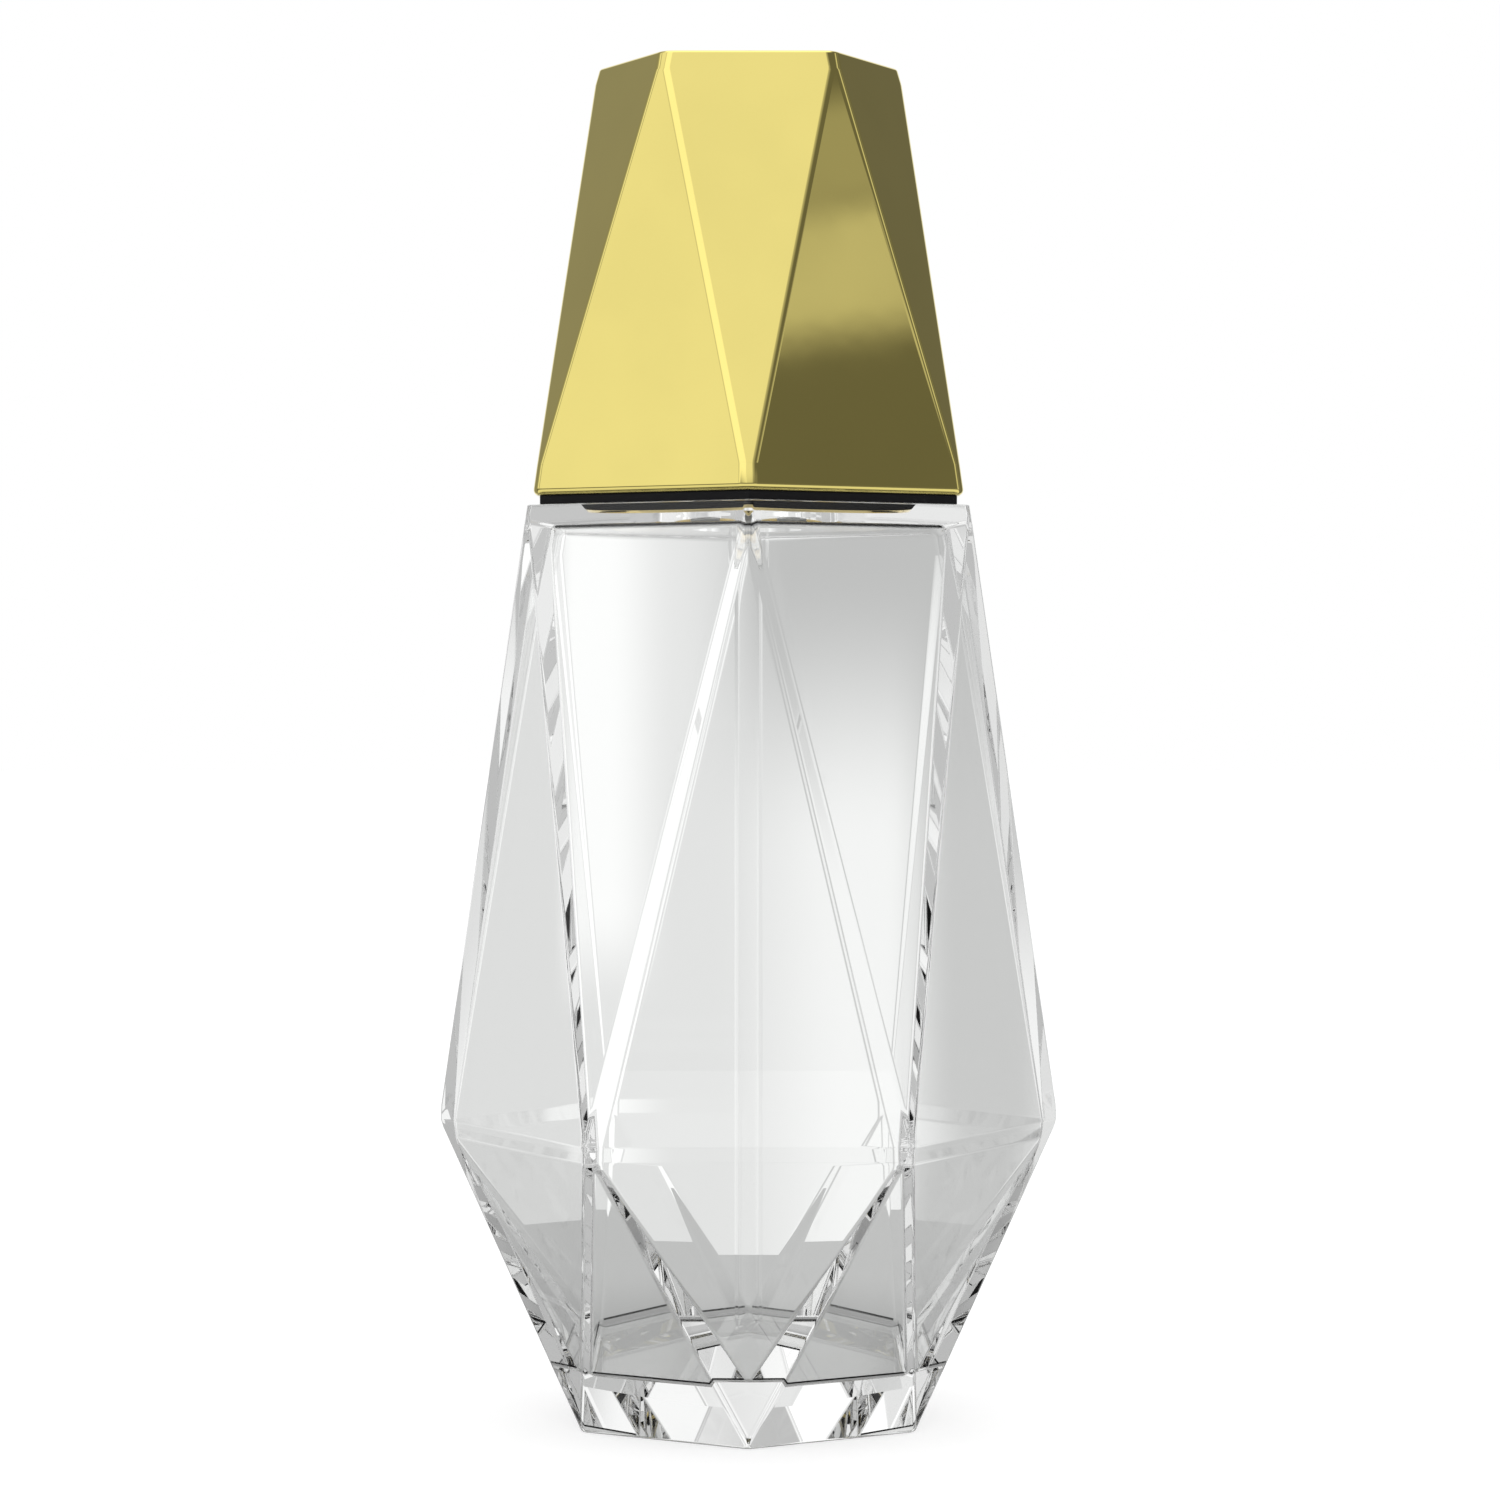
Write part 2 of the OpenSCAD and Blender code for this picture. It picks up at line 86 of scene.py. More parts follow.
class Graph:
    """A node tree with short calls to add nodes and to join them."""

    def __init__(self, tree):
        self.tree = tree
        tree.nodes.clear()

    def add(self, kind, **sockets):
        """A node of that kind. A value that is an output socket is linked, any other is set."""
        node = self.tree.nodes.new(kind)
        for name, value in sockets.items():
            self.put(node, name.replace("_", " "), value)
        return node

    def put(self, node, name, value):
        socket = node.inputs[int(name)] if name.isdigit() else node.inputs[name]
        if isinstance(value, bpy.types.NodeSocket):
            self.tree.links.new(value, socket)
        else:
            socket.default_value = value

    def math(self, operation, *values):
        node = self.tree.nodes.new("ShaderNodeMath")
        node.operation = operation
        for i, value in enumerate(values):
            self.put(node, str(i), value)
        return node.outputs[0]

    def smooth(self, value, low, high, out_low=0.0, out_high=1.0):
        """value eased from out_low at low to out_high at high."""
        node = self.add("ShaderNodeMapRange", Value=value)
        node.interpolation_type = "SMOOTHSTEP"
        ends = {"From Min": low, "From Max": high, "To Min": out_low, "To Max": out_high}
        for name, number in ends.items():
            node.inputs[name].default_value = number
        return node.outputs["Result"]


# ---------------------------------------------------------------- materials


def new_material(name):
    """A material with its graph, its Principled shader and the place on the object that textures read."""
    mat = bpy.data.materials.new(name)
    mat.use_nodes = True
    g = Graph(mat.node_tree)
    out = g.add("ShaderNodeOutputMaterial")
    shader = g.add("ShaderNodeBsdfPrincipled")
    g.tree.links.new(shader.outputs[0], out.inputs["Surface"])
    place = g.add("ShaderNodeTexCoord").outputs["Object"]
    return mat, g, shader, place


def choose(g, factor, low, high):
    """The value low where the factor is 0 and high where it is 1."""
    mix = g.add("ShaderNodeMix")
    for socket, value in zip("023", (factor, low, high)):
        g.put(mix, socket, value)
    return mix.outputs[0]


def blend(g, factor, low, high):
    """The colour low where the factor is 0 and high where it is 1."""
    mix = g.add("ShaderNodeMix")
    mix.data_type = "RGBA"
    g.put(mix, "0", factor)
    mix.inputs[6].default_value = (*low, 1.0)
    mix.inputs[7].default_value = (*high, 1.0)
    return mix.outputs[2]


def window(g, value, low, high, soft):
    """1 between low and high, 0 outside, eased over soft."""
    rise = g.smooth(value, low - soft / 2, low + soft / 2)
    return g.math("MULTIPLY", rise, g.smooth(value, high - soft / 2, high + soft / 2, 1.0, 0.0))


def noise(g, place, scale, detail=2.0, roughness=0.5):
    node = g.add("ShaderNodeTexNoise", Vector=place, Scale=scale, Detail=detail, Roughness=roughness)
    return node.outputs["Fac"]


def bump(g, shader, height, distance, strength=1.0):
    node = g.add("ShaderNodeBump", Height=height, Distance=distance, Strength=strength)
    g.put(shader, "Normal", node.outputs[0])


def glass():
    """Flint glass: clear, with the faint waviness of a pressed and fire-polished surface."""
    mat, g, shader, place = new_material("flint_glass")
    g.put(shader, "Base Color", (0.985, 0.99, 0.985, 1.0))
    g.put(shader, "Transmission Weight", 1.0)
    g.put(shader, "IOR", 1.5)
    g.put(shader, "Roughness", g.smooth(noise(g, place, 60.0), 0.35, 0.8, 0.0, 0.012))
    bump(g, shader, noise(g, place, 28.0, 1.0), 0.002 * MM)
    return mat


def mirror_gold(name, tint, rough_low, rough_high, peel_scale=180.0, peel=0.002 * MM):
    """Bright metallised finish: mirror metal with cloudy roughness and a faint orange peel."""
    mat, g, shader, place = new_material(name)
    cloud = noise(g, place, 90.0, 3.0)
    darker = [0.96 * c for c in tint]
    g.put(shader, "Base Color", blend(g, g.smooth(cloud, 0.3, 0.75), tint, darker))
    g.put(shader, "Metallic", 1.0)
    g.put(shader, "Roughness", g.smooth(cloud, 0.25, 0.8, rough_low, rough_high))
    bump(g, shader, noise(g, place, peel_scale, 2.0), peel)
    return mat


def moulded(
    name, colour, roughness, spread=0.06, grain=900.0, depth=0.01 * MM, sheen=0.0, gloss=0.5,
):
    """Moulded plastic or rubber: slight colour drift, fine texture and uneven gloss."""
    mat, g, shader, place = new_material(name)
    darker = [c * (1 - spread) for c in colour]
    lighter = [min(1.0, c * (1 + spread)) for c in colour]
    g.put(shader, "Base Color", blend(g, noise(g, place, 120.0, 3.0), darker, lighter))
    patches = noise(g, place, 300.0)
    g.put(shader, "Roughness", g.smooth(patches, 0.3, 0.8, roughness - 0.05, roughness + 0.08))
    g.put(shader, "Sheen Weight", sheen)
    g.put(shader, "Specular IOR Level", gloss)
    bump(g, shader, noise(g, place, grain, 2.0), depth)
    return mat


def turned_steel(name, tint, roughness, stretch=(40.0, 40.0, 1500.0)):
    """Steel with fine marks that run round the axis."""
    mat, g, shader, place = new_material(name)
    mapping = g.add("ShaderNodeMapping", Vector=place, Scale=stretch)
    marks = noise(g, mapping.outputs[0], 1.0, 4.0)
    g.put(shader, "Base Color", (*tint, 1.0))
    g.put(shader, "Metallic", 1.0)
    g.put(shader, "Roughness", g.smooth(marks, 0.3, 0.7, roughness * 0.7, roughness * 1.3))
    bump(g, shader, marks, 0.004 * MM)
    return mat


def clear_tube():
    """Clear tube that hardly shows. Its index is far below a real polymer's, because the photograph shows no
    tube at all."""
    mat, g, shader, place = new_material("clear_tube")
    g.put(shader, "Base Color", (1.0, 1.0, 1.0, 1.0))
    g.put(shader, "Transmission Weight", 1.0)
    g.put(shader, "IOR", 1.008)
    g.put(shader, "Specular IOR Level", 0.2)
    g.put(shader, "Roughness", g.smooth(noise(g, place, 200.0), 0.3, 0.8, 0.0, 0.03))
    return mat


MATERIALS = {
    "clear_glass": glass(),
    "gold_metallised": mirror_gold("gold_metallised", (0.86, 0.735, 0.235), 0.015, 0.05),
    "gold_aluminium": mirror_gold(
        "gold_aluminium", (0.9, 0.74, 0.36), 0.08, 0.16, peel_scale=400.0, peel=0.004 * MM,
    ),
    "black_plastic": moulded("black_plastic", (0.012, 0.012, 0.013), 0.4, gloss=0.1),
    "black_seal": moulded("black_seal", (0.008, 0.008, 0.009), 0.5, gloss=0.0),
    "white_plastic": moulded("white_plastic", (0.8, 0.8, 0.77), 0.35, 0.02),
    "black_rubber": moulded("black_rubber", (0.02, 0.02, 0.022), 0.6, sheen=0.1),
    "grey_rubber": moulded("grey_rubber", (0.5, 0.5, 0.48), 0.6),
    "spring_steel": turned_steel("spring_steel", (0.6, 0.6, 0.62), 0.25, (900.0,) * 3),
    "cast_steel": turned_steel("cast_steel", (0.42, 0.42, 0.44), 0.35),
    "ball_steel": turned_steel("ball_steel", (0.7, 0.71, 0.73), 0.06, (500.0,) * 3),
    "clear_fluoropolymer": clear_tube(),
}
RECORD = frame["record"]
SLOT_OF = {part["node"]: part["material_slot"] for part in RECORD["subparts"]}
BODY_OF = {node: body for body, nodes in RECORD["behaviour"]["bodies"].items() for node in nodes}

# ---------------------------------------------------------------- meshes

NEAR = 0.002 * MM             # how far a vertex may lie from the height or radius it is looked up by
LEVEL = 0.999                 # a normal with more than this along Z belongs to a level face
TURNED_ROUND = 0.06 * MM      # radius of the edges of turned pieces
TURNED_SEGMENTS = 128


def finish_piece(bm, name, node, sharp_deg=28.0, weighted=True):
    """Turns bm into a piece that stands for that CAD node, rides on its body and has its material."""
    bmesh.ops.remove_doubles(bm, verts=bm.verts, dist=0.0005 * MM)
    bmesh.ops.recalc_face_normals(bm, faces=bm.faces)
    for face in bm.faces:
        face.smooth = True
    for edge in bm.edges:
        edge.smooth = len(edge.link_faces) == 2 and edge.calc_face_angle(0.0) < math.radians(sharp_deg)
    mesh = bpy.data.meshes.new(name)
    bm.to_mesh(mesh)
    bm.free()
    mesh.materials.append(MATERIALS[SLOT_OF[node]])
    piece = bpy.data.objects.new(name, mesh)
    bpy.context.scene.collection.objects.link(piece)
    if weighted:
        modifier = piece.modifiers.new("weighted", "WEIGHTED_NORMAL")
        modifier.weight = 100
        modifier.keep_sharp = True
    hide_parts(node)
    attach(piece, BODY_OF[node])
    return piece


def level(planes, up):
    """The height of the level plane that faces up (1) or down (-1)."""
    return up * max(distance for normal, distance in planes if normal.z * up > LEVEL)


def flat_planes(node, inward, beyond=0.0, least_area=4e-6):
    """The planes of a faceted CAD node as (outward normal, distance from the origin): those of its outer side,
    or of its hollow if inward. Faces nearer the axis than beyond are left out, and so are level faces that lie
    short of the end."""
    mesh = NODES[node].data
    low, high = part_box(node)
    middle = Vector((0.0, 0.0, (low.z + high.z) / 2))
    found = {}
    for face in mesh.polygons:
        faces_axis = face.normal.dot(face.center - middle) < 0
        steep = abs(face.normal.z) <= LEVEL
        if face.area < least_area or faces_axis != inward:
            continue
        if steep and math.hypot(face.center.x, face.center.y) < beyond:
            continue
        normal = -face.normal if inward else face.normal.copy()
        key = tuple(round(c, 2) for c in normal) + (round(normal.dot(face.center) / MM, 1),)
        found[key] = (normal, normal.dot(face.center))
    planes = [found[key] for key in sorted(found)]
    return [
        (normal, distance) for normal, distance in planes
        if abs(normal.z) < LEVEL
        or distance == max(far for way, far in planes if way.dot(normal) > LEVEL)
    ]


def corners_of(planes):
    """The corners of the convex body that lies behind all the planes, each with the planes that meet there."""
    corners = []
    for trio in itertools.combinations(planes, 3):
        matrix = Matrix([normal for normal, _ in trio])
        if abs(matrix.determinant()) < 1e-4:
            continue
        point = matrix.inverted() @ Vector([distance for _, distance in trio])
        inside = all(normal.dot(point) < distance + 5e-7 for normal, distance in planes)
        if inside and all((point - other).length > 2e-6 for other in corners):
            corners.append(point)
    return [
        (point, [
            i for i, (normal, distance) in enumerate(planes)
            if abs(normal.dot(point) - distance) < 1e-6
        ])
        for point in corners
    ]


def turn_order(items, ways, axis):
    """The items in the order in which their directions go round the axis."""
    side = axis.orthogonal().normalized()
    across = axis.cross(side)
    turns = [math.atan2(way.dot(across), way.dot(side)) for way in ways]
    return [item for _, item in sorted(zip(turns, items))]


def rounded_sides(planes, radius, steps=8, spare=4.0 * MM):
    """The convex body behind the planes, with every edge between its sides rounded: flat faces, a strip of long
    faces along each edge and a patch of a ball at each corner. Its level ends lie further out by spare, to be
    cut later."""
    moved = [
        (normal, distance - radius + (spare if abs(normal.z) > LEVEL else 0.0))
        for normal, distance in planes
    ]
    normals = [normal for normal, _ in moved]
    corners = corners_of(moved)
    bm = bmesh.new()

    def at(corner, way):
        return bm.verts.new(corners[corner][0] + way * radius)

    for i, normal in enumerate(normals):
        touching = [c for c, (_, meeting) in enumerate(corners) if i in meeting]
        if len(touching) < 3:
            continue
        middle = sum((corners[c][0] for c in touching), Vector()) / len(touching)
        loop = turn_order(touching, [corners[c][0] - middle for c in touching], normal)
        bm.faces.new([at(c, normal) for c in loop])
        for a, b in zip(loop, loop[1:] + loop[:1]):
            shared = [k for k in corners[a][1] if k in corners[b][1] and k > i]
            for k in shared[:1]:
                ways = [normal.slerp(normals[k], t / steps) for t in range(steps + 1)]
                for one, two in zip(ways, ways[1:]):
                    bm.faces.new((at(a, one), at(a, two), at(b, two), at(b, one)))
    for c, (_, meeting) in enumerate(corners):
        centre = sum((normals[k] for k in meeting), Vector()).normalized()
        order = turn_order(meeting, [normals[k] for k in meeting], centre)
        rim = [
            normals[one].slerp(normals[two], t / steps)
            for one, two in zip(order, order[1:] + order[:1]) for t in range(steps)
        ]
        rows = [[way.slerp(centre, t / steps) for way in rim] for t in range(steps)]
        for outer, inner in zip(rows, rows[1:]):
            for k in range(len(rim)):
                n = (k + 1) % len(rim)
                patch = (outer[k], outer[n], inner[n], inner[k])
                bm.faces.new([at(c, way) for way in patch])
        last = rows[-1]
        for one, two in zip(last, last[1:] + last[:1]):
            bm.faces.new((at(c, one), at(c, two), at(c, centre)))
    bmesh.ops.remove_doubles(bm, verts=bm.verts, dist=0.0002 * MM)
    bmesh.ops.dissolve_degenerate(bm, edges=bm.edges, dist=0.0001 * MM)
    bmesh.ops.recalc_face_normals(bm, faces=bm.faces)
    return bm


def end_at(bm, z, up, width, segments=5):
    """Ends the body with a level face at height z, and rounds its outline by width."""
    geom = list(bm.verts) + list(bm.edges) + list(bm.faces)
    cut = bmesh.ops.bisect_plane(
        bm, geom=geom, dist=1e-7, plane_co=(0, 0, z), plane_no=(0, 0, up), clear_outer=True,
    )
    outline = [g for g in cut["geom_cut"] if isinstance(g, bmesh.types.BMEdge)]
    bmesh.ops.contextual_create(bm, geom=outline)
    bmesh.ops.recalc_face_normals(bm, faces=bm.faces)
    if width:
        bmesh.ops.bevel(
            bm, geom=outline, offset=width, offset_type="OFFSET", segments=segments,
            profile=0.5, affect="EDGES", clamp_overlap=False,
        )
    bm.normal_update()


def merge(target, source):
    """Adds the geometry of source to target."""
    mesh = bpy.data.meshes.new("part")
    source.to_mesh(mesh)
    source.free()
    target.from_mesh(mesh)
    target.normal_update()
    bpy.data.meshes.remove(mesh)


def remove_level_face(bm, z):
    """Opens the body at its largest level face at height z. Returns the edges round the opening."""
    there = [
        f for f in bm.faces
        if abs(f.calc_center_median().z - z) < NEAR and abs(f.normal.z) > 0.99
    ]
    face = max(there, key=lambda f: f.calc_area())
    outline = list(face.edges)
    bmesh.ops.delete(bm, geom=[face], context="FACES_ONLY")
    return outline


def fill_between(bm, loops, up):
    """Fills the level area between closed loops of edges."""
    edges = [e for loop in loops for e in loop]
    bmesh.ops.triangle_fill(
        bm, use_beauty=True, use_dissolve=False, edges=edges, normal=(0, 0, up),
    )


def loop_edges(bm, row):
    """The edges that join the vertices of the row in a closed loop."""
    return [bm.edges.get((a, b)) or bm.edges.new((a, b)) for a, b in zip(row, row[1:] + row[:1])]


def half_profile(node, inside=1.0):
    """The outline in which a turned CAD node meets the half plane x > 0, y = 0, as (radius, height) points in
    order. It comes with True if it is closed. inside leaves out what is further than that from the axis."""
    mesh = NODES[node].data
    points = {
        v.index: (round(v.co.x / MM, 4), round(v.co.z / MM, 4))
        for v in mesh.vertices if abs(v.co.y) < 1e-7 and -1e-7 < v.co.x < inside
    }
    links = {}
    for a, b in (edge.vertices for edge in mesh.edges):
        if a in points and b in points and points[a] != points[b]:
            links.setdefault(points[a], set()).add(points[b])
            links.setdefault(points[b], set()).add(points[a])
    ends = sorted(p for p, near in links.items() if len(near) == 1)
    chain = [ends[-1] if ends else min(links)]
    while True:
        near = sorted(p for p in links[chain[-1]] if p not in chain)
        if not near:
            break
        chain.append(near[0])
    return [Vector((r * MM, z * MM)) for r, z in chain], not ends


def rounded(profile, closed, radius, steps=4, from_deg=30.0):
    """The outline with each sharp corner replaced by a small arc."""
    count = len(profile)
    result = []
    for i, point in enumerate(profile):
        if not closed and i in (0, count - 1):
            result.append(point)
            continue
        back = profile[i - 1] - point
        ahead = profile[(i + 1) % count] - point
        bend = math.degrees(math.pi - back.angle(ahead))
        if bend < from_deg:
            result.append(point)
            continue
        cut = min(radius, 0.4 * back.length, 0.4 * ahead.length)
        start, end = point + back.normalized() * cut, point + ahead.normalized() * cut
        for k in range(steps + 1):
            t = k / steps
            result.append(start * (1 - t) ** 2 + point * 2 * t * (1 - t) + end * t ** 2)
    return result


def turned_mesh(profile, closed, segments):
    """A bmesh turned from an outline. Its points on the axis become single vertices."""
    bm = bmesh.new()
    rows = []
    for radius, z in profile:
        if radius < 0.001 * MM:
            rows.append([bm.verts.new((0.0, 0.0, z))] * segments)
        else:
            angles = [math.tau * i / segments for i in range(segments)]
            circle = [(radius * math.cos(a), radius * math.sin(a), z) for a in angles]
            rows.append([bm.verts.new(point) for point in circle])
    pairs = list(zip(rows, rows[1:])) + ([(rows[-1], rows[0])] if closed else [])
    for low, high in pairs:
        for i in range(segments):
            j = (i + 1) % segments
            corners = list(dict.fromkeys((low[i], low[j], high[j], high[i])))
            if len(corners) > 2:
                bm.faces.new(corners)
    return bm


def turned_piece(node, name):
    """A turned CAD node made again with rounded edges."""
    profile, closed = half_profile(node)
    outline = rounded(profile, closed, TURNED_ROUND)
    return finish_piece(turned_mesh(outline, closed, TURNED_SEGMENTS), name, node)


# ---------------------------------------------------------------- glass bottle

GLASS_EDGE = 1.0 * MM       # radius of the edges between the outer facets
CAVITY_EDGE = 0.9 * MM      # radius of the edges between the hollow's walls
BASE_ROUND = 0.3 * MM       # at the outline of the base
SHOULDER_ROUND = 0.1 * MM
FLOOR_ROUND = 0.5 * MM      # where the walls meet the hollow's floor and ceiling
WETTED = 0.04 * MM          # how far rims are moved out to close their gap to the glass
RIM_ROUND = 0.04 * MM       # radius of the edges of the pieces with such rims
RIM_BEYOND = 0.0098         # those rims lie outside this radius
NECK_ZONE = 0.012           # steep faces nearer the axis belong to the neck, not to the facets
NECK_REACH = 0.0125         # how far out the neck's outline is followed. This is too little: see glass_bottle


def row_at(bm, radius, z):
    """The vertices at that radius and height, in order of angle."""
    near = [
        v for v in bm.verts
        if abs(v.co.z - z) < NEAR and abs(math.hypot(v.co.x, v.co.y) - radius) < NEAR
    ]
    return sorted(near, key=lambda v: math.atan2(v.co.y, v.co.x))


def open_and_fill(bm, z, up, hole_radius):
    """Replaces the largest level face at height z by one with a round hole that meets the neck."""
    outline = remove_level_face(bm, z)
    ring = row_at(bm, hole_radius, z)
    fill_between(bm, [outline, loop_edges(bm, ring)], up)


def glass_bottle():
    """The glass: rounded facets outside and inside, and the turned neck.

    Known fault: the well in the shoulder is 13.1 mm wide at its mouth, further out than NECK_REACH. So its wall
    is missing here, and the shoulder's level face has no hole. The mesh is open where the well's floor ends."""
    outer = flat_planes("glass_bottle", inward=False, beyond=NECK_ZONE)
    hollow = flat_planes("glass_bottle", inward=True, beyond=NECK_ZONE)
    shoulder, ceiling = level(outer, 1), level(hollow, 1)
    neck, _ = half_profile("glass_bottle", NECK_REACH)
    if neck[0].x < neck[-1].x:
        neck.reverse()
    neck = rounded(neck, False, TURNED_ROUND)
    bm = rounded_sides(outer, GLASS_EDGE)
    end_at(bm, level(outer, -1), -1, BASE_ROUND)
    end_at(bm, shoulder, 1, SHOULDER_ROUND)
    inner = rounded_sides(hollow, CAVITY_EDGE)
    end_at(inner, level(hollow, -1), -1, FLOOR_ROUND)
    end_at(inner, ceiling, 1, FLOOR_ROUND)
    merge(bm, inner)
    merge(bm, turned_mesh(neck, False, TURNED_SEGMENTS))
    open_and_fill(bm, shoulder, 1, neck[0].x)
    open_and_fill(bm, ceiling, 1, neck[-1].x)
    return finish_piece(bm, "bottle_glass", "glass_bottle")


def wetted_piece(node, name):
    """A turned CAD node whose rim is moved out by WETTED, to reach just past the wall of the well that it is
    pressed against. The wall itself is missing at present: see glass_bottle."""
    profile, closed = half_profile(node)
    mouth = level(flat_planes("glass_bottle", inward=False, beyond=NECK_ZONE), 1)
    for point in profile:
        if point.x > RIM_BEYOND and point.y < mouth + WETTED:
            point.x += WETTED
    outline = rounded(profile, closed, RIM_ROUND)
    return finish_piece(turned_mesh(outline, closed, TURNED_SEGMENTS), name, node)


# ---------------------------------------------------------------- cap

CAP_EDGE = 1.85 * MM        # radius of the edges between the facets
CAP_INNER_EDGE = 1.0 * MM
CAP_TOP_ROUND = 0.25 * MM
CAP_RIM_ROUND = 0.65 * MM


def cap_shell():
    """The faceted shell, open at its rim."""
    outer = flat_planes("cap_shell", inward=False)
    hollow = flat_planes("cap_shell", inward=True)
    rim = level(outer, -1)
    bm = rounded_sides(outer, CAP_EDGE)
    end_at(bm, level(outer, 1), 1, CAP_TOP_ROUND)
    end_at(bm, rim, -1, CAP_RIM_ROUND)
    inner = rounded_sides(hollow + [(Vector((0.0, 0.0, -1.0)), -rim)], CAP_INNER_EDGE)
    end_at(inner, level(hollow, 1), 1, CAP_INNER_EDGE)
    end_at(inner, rim, -1, 0.0)
    for body in (bm, inner):
        remove_level_face(body, rim)
    merge(bm, inner)
    fill_between(bm, [[e for e in bm.edges if len(e.link_faces) == 1]], -1)
    return finish_piece(bm, "cap_gold_shell", "cap_shell")


# ---------------------------------------------------------------- springs

STEPS_PER_TURN = 40
WIRE_SIDES = 12
CLOSED_TURNS = 0.9            # how much of a turn is closed at each end


def spring(node, name, turns):
    """A round wire spring with its end turns closed."""
    low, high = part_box(node)
    length = high.z - low.z
    radii = [math.hypot(v.co.x, v.co.y) for v in NODES[node].data.vertices]
    wire = (max(radii) - min(radii)) / 2
    mean = (max(radii) + min(radii)) / 2
    steps = int(turns * STEPS_PER_TURN)
    section = [
        (mean + wire * math.cos(math.tau * k / WIRE_SIDES), wire * math.sin(math.tau * k / WIRE_SIDES))
        for k in range(WIRE_SIDES)
    ]
    bm = bmesh.new()
    rows = []
    for i in range(steps + 1):
        t = i / steps * turns
        rise = min(max((t - CLOSED_TURNS) / (turns - 2 * CLOSED_TURNS), 0.0), 1.0)
        ends = (min(t, CLOSED_TURNS) + max(t - turns + CLOSED_TURNS, 0.0)) / CLOSED_TURNS
        z = low.z + wire + wire * ends + rise * (length - 4 * wire)
        a = math.tau * t
        rows.append([bm.verts.new((r * math.cos(a), r * math.sin(a), z + up)) for r, up in section])
    for a_row, b_row in zip(rows, rows[1:]):
        for k in range(WIRE_SIDES):
            n = (k + 1) % WIRE_SIDES
            bm.faces.new((a_row[k], a_row[n], b_row[n], b_row[k]))
    bm.faces.new(rows[0])
    bm.faces.new(list(reversed(rows[-1])))
    piece = finish_piece(bm, name, node, sharp_deg=50.0, weighted=False)
    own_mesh(piece)
    return piece


# ---------------------------------------------------------------- build

make_camera()
glass_bottle()
wetted_piece("shoulder_ring", "shoulder_seal")
wetted_piece("collar", "collar_sleeve")
cap_shell()
for turned_node, piece_name in (
    ("neck_gasket", "gasket_ring"), ("crimp_ferrule", "ferrule"),
    ("collar_liner", "collar_lining"), ("pump_housing", "housing"), ("stem_gland", "gland"),
    ("stem_gasket", "stem_seal"), ("piston", "piston_lips"), ("cap_weight", "weight_ring"),
):
    turned_piece(turned_node, piece_name)

spring("return_spring", "return_coil", 5.0)
spring("precompression_spring", "precompression_coil", 3.4)

for node, obj in NODES.items():
    obj.data.materials.clear()
    obj.data.materials.append(MATERIALS[SLOT_OF[node]])

# ---------------------------------------------------------------- studio

TABLE_BACK = 0.065            # where the table that the glass shows ends, behind the axis
SHADE_RADIUS = 0.045          # painted shade: the self-lit table is darker than elsewhere within this distance of the axis
TABLE_HALF = 1.5              # how far the table reaches to the sides and to the front
TABLE_Z = -0.04 * MM
FLOOR_Z = -0.03 * MM
FLOOR_RADIUS = 3.0
BACKDROP_Y = 0.2
BACKDROP_X = (-0.045, 0.13)
BACKDROP_Z = (-0.15, 0.35)
BOUNCES = 32


def card(corners):
    """A bmesh with one face between the corners."""
    bm = bmesh.new()
    bm.faces.new([bm.verts.new(corner) for corner in corners])
    return bm


def self_lit(g, shader, strength, grey=0.0):
    """Makes the surface give white light of that strength, and reflect only as a matt grey."""
    g.put(shader, "Base Color", (grey, grey, grey, 1.0))
    g.put(shader, "Specular IOR Level", 0.0)
    g.put(shader, "Emission Color", (1.0, 1.0, 1.0, 1.0))
    g.put(shader, "Emission Strength", strength)


def stage_object(name, bm, mat):
    mesh = bpy.data.meshes.new(name)
    bm.to_mesh(mesh)
    bm.free()
    mesh.materials.append(mat)
    obj = bpy.data.objects.new(name, mesh)
    bpy.context.scene.collection.objects.link(obj)
    return obj


def floor():
    """A white floor, lit a little past white so that only a faint shadow shows round the base."""
    bm = bmesh.new()
    bmesh.ops.create_circle(bm, cap_ends=True, cap_tris=False, segments=128, radius=FLOOR_RADIUS)
    bmesh.ops.translate(bm, verts=bm.verts, vec=(0.0, 0.0, FLOOR_Z))
    mat, g, shader, _ = new_material("floor_white")
    self_lit(g, shader, 0.7, grey=0.4)
    g.put(shader, "Roughness", 0.8)
    obj = stage_object("floor", bm, mat)
    obj.visible_transmission = False
    obj.visible_glossy = False


def table():
    """The pale grey table top that the glass and the gold see in place of the white floor. It is self-lit, with
    painted shade round the bottle.
    """
    left, right, front, back = -TABLE_HALF, TABLE_HALF, -TABLE_HALF, TABLE_BACK
    outline = ((left, front), (right, front), (right, back), (left, back))
    mat, g, shader, place = new_material("table_grey")
    distance = g.add("ShaderNodeVectorMath", **{"0": place})
    distance.operation = "LENGTH"
    # painted shade: darker round the bottle as the glass shows it, and darker and wider as the gold mirrors it
    painted_shade_through_glass = g.smooth(distance.outputs["Value"], 0.015, SHADE_RADIUS, 0.3, 0.56)
    painted_shade_in_gold = g.smooth(distance.outputs["Value"], 0.1, 0.16, 0.08, 0.9)
    through_glass = g.add("ShaderNodeLightPath").outputs["Is Transmission Ray"]
    self_lit(g, shader, choose(g, through_glass, painted_shade_in_gold, painted_shade_through_glass))
    obj = stage_object("table", card([(x, y, TABLE_Z) for x, y in outline]), mat)
    obj.visible_camera = False
    obj.visible_diffuse = False
    obj.visible_shadow = False


